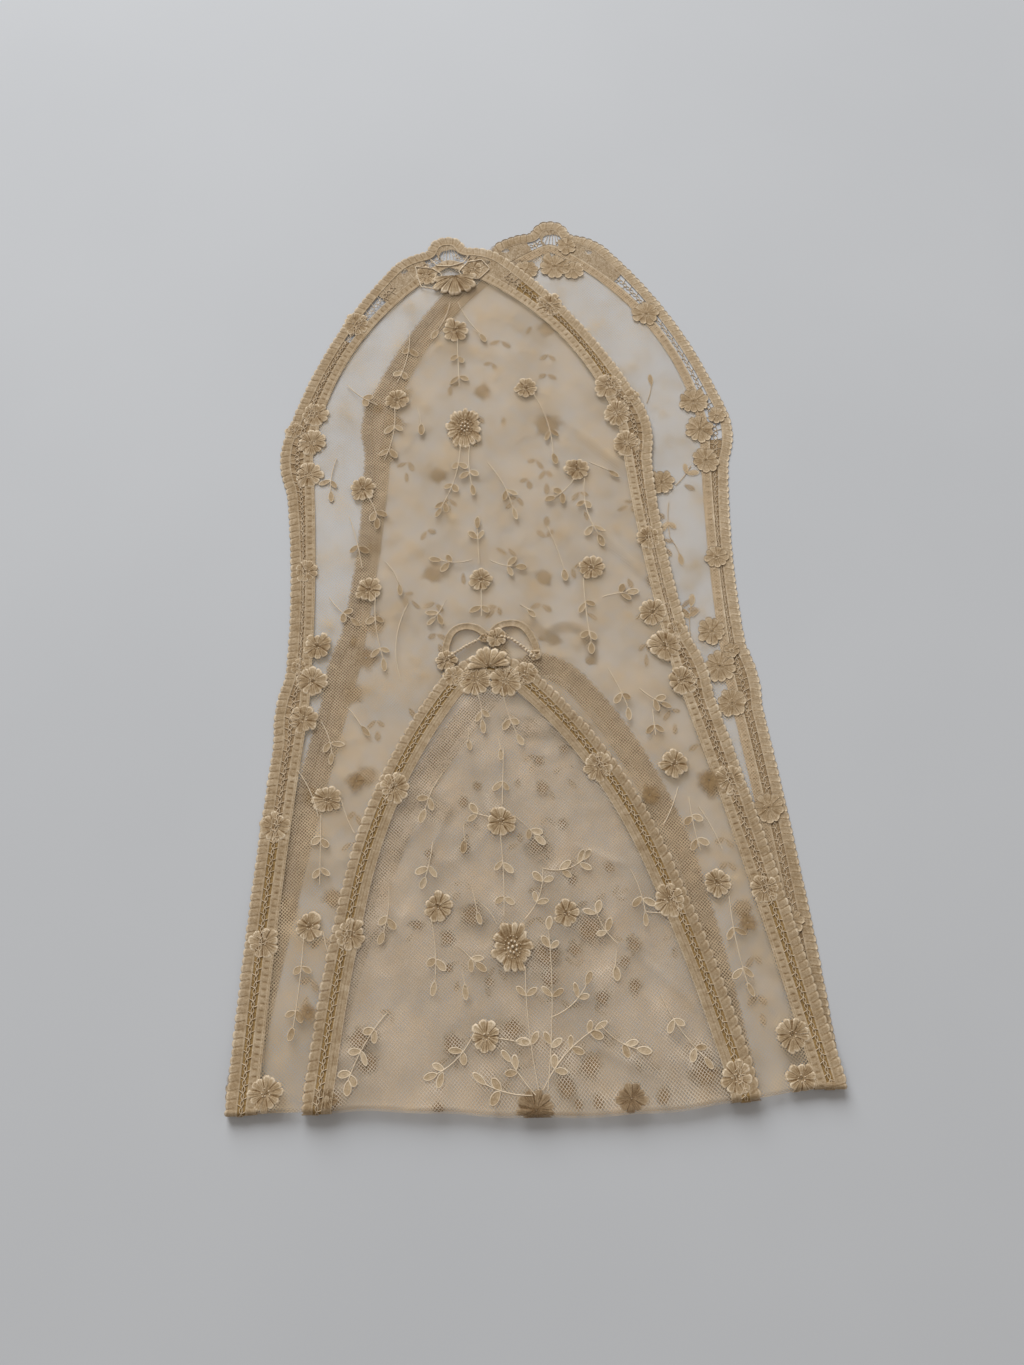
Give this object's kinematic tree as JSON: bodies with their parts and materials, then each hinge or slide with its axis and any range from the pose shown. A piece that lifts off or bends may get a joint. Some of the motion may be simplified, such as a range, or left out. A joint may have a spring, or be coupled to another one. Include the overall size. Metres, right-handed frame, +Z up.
{
  "type": "lace veil",
  "caption": "Two-tier lace veil of fine net edged with lace tapes and sewn with gathered tape flowers, folded in half and lying flat; worn draped over the head.",
  "frame": {"origin": "middle of the underside of the folded veil, on the surface it lies on", "axes": "+X along the fold to the right, +Y from the fold towards the pointed ends, +Z up from the surface"},
  "size_m": [0.399, 0.6672, 0.0099],
  "materials": {
    "net": "sheer ecru cotton net",
    "tape": "ecru woven cotton lace tape",
    "flower": "ecru gathered cotton tape"
  },
  "bodies": {
    "root": {"long_apex_cluster": "flower", "long_centre_flower_1": "flower", "long_centre_flower_2": "flower", "long_centre_flower_3": "flower", "long_edge_flower_left_1": "flower", "long_edge_flower_left_2": "flower", "long_edge_flower_left_3": "flower", "long_edge_flower_left_4": "flower", "long_edge_flower_left_5": "flower", "long_edge_flower_right_1": "flower", "long_edge_flower_right_2": "flower", "long_edge_flower_right_3": "flower", "long_edge_flower_right_4": "flower", "long_edge_flower_right_5": "flower", "long_edge_tape": "tape", "long_hip_cluster_left": "flower", "long_hip_cluster_right": "flower", "long_inner_tape": "tape", "long_net": "net", "long_shoulder_cluster_left": "flower", "long_shoulder_cluster_right": "flower", "long_side_flower_left_1": "flower", "long_side_flower_left_2": "flower", "long_side_flower_left_3": "flower", "long_side_flower_left_4": "flower", "long_side_flower_left_5": "flower", "long_side_flower_right_1": "flower", "long_side_flower_right_2": "flower", "long_side_flower_right_3": "flower", "long_side_flower_right_4": "flower", "long_side_flower_right_5": "flower", "short_apex_cluster": "flower", "short_back_crown": "tape", "short_centre_flower_1": "flower", "short_centre_flower_2": "flower", "short_centre_flower_3": "flower", "short_centre_flower_4": "flower", "short_centre_flower_5": "flower", "short_corner_flower_1": "flower", "short_edge_flower_left_1": "flower", "short_edge_flower_left_2": "flower", "short_edge_flower_right_1": "flower", "short_edge_flower_right_2": "flower", "short_edge_tape": "tape", "short_front_crown": "tape", "short_inner_tape": "tape", "short_net": "net"}
  },
  "joints": []
}
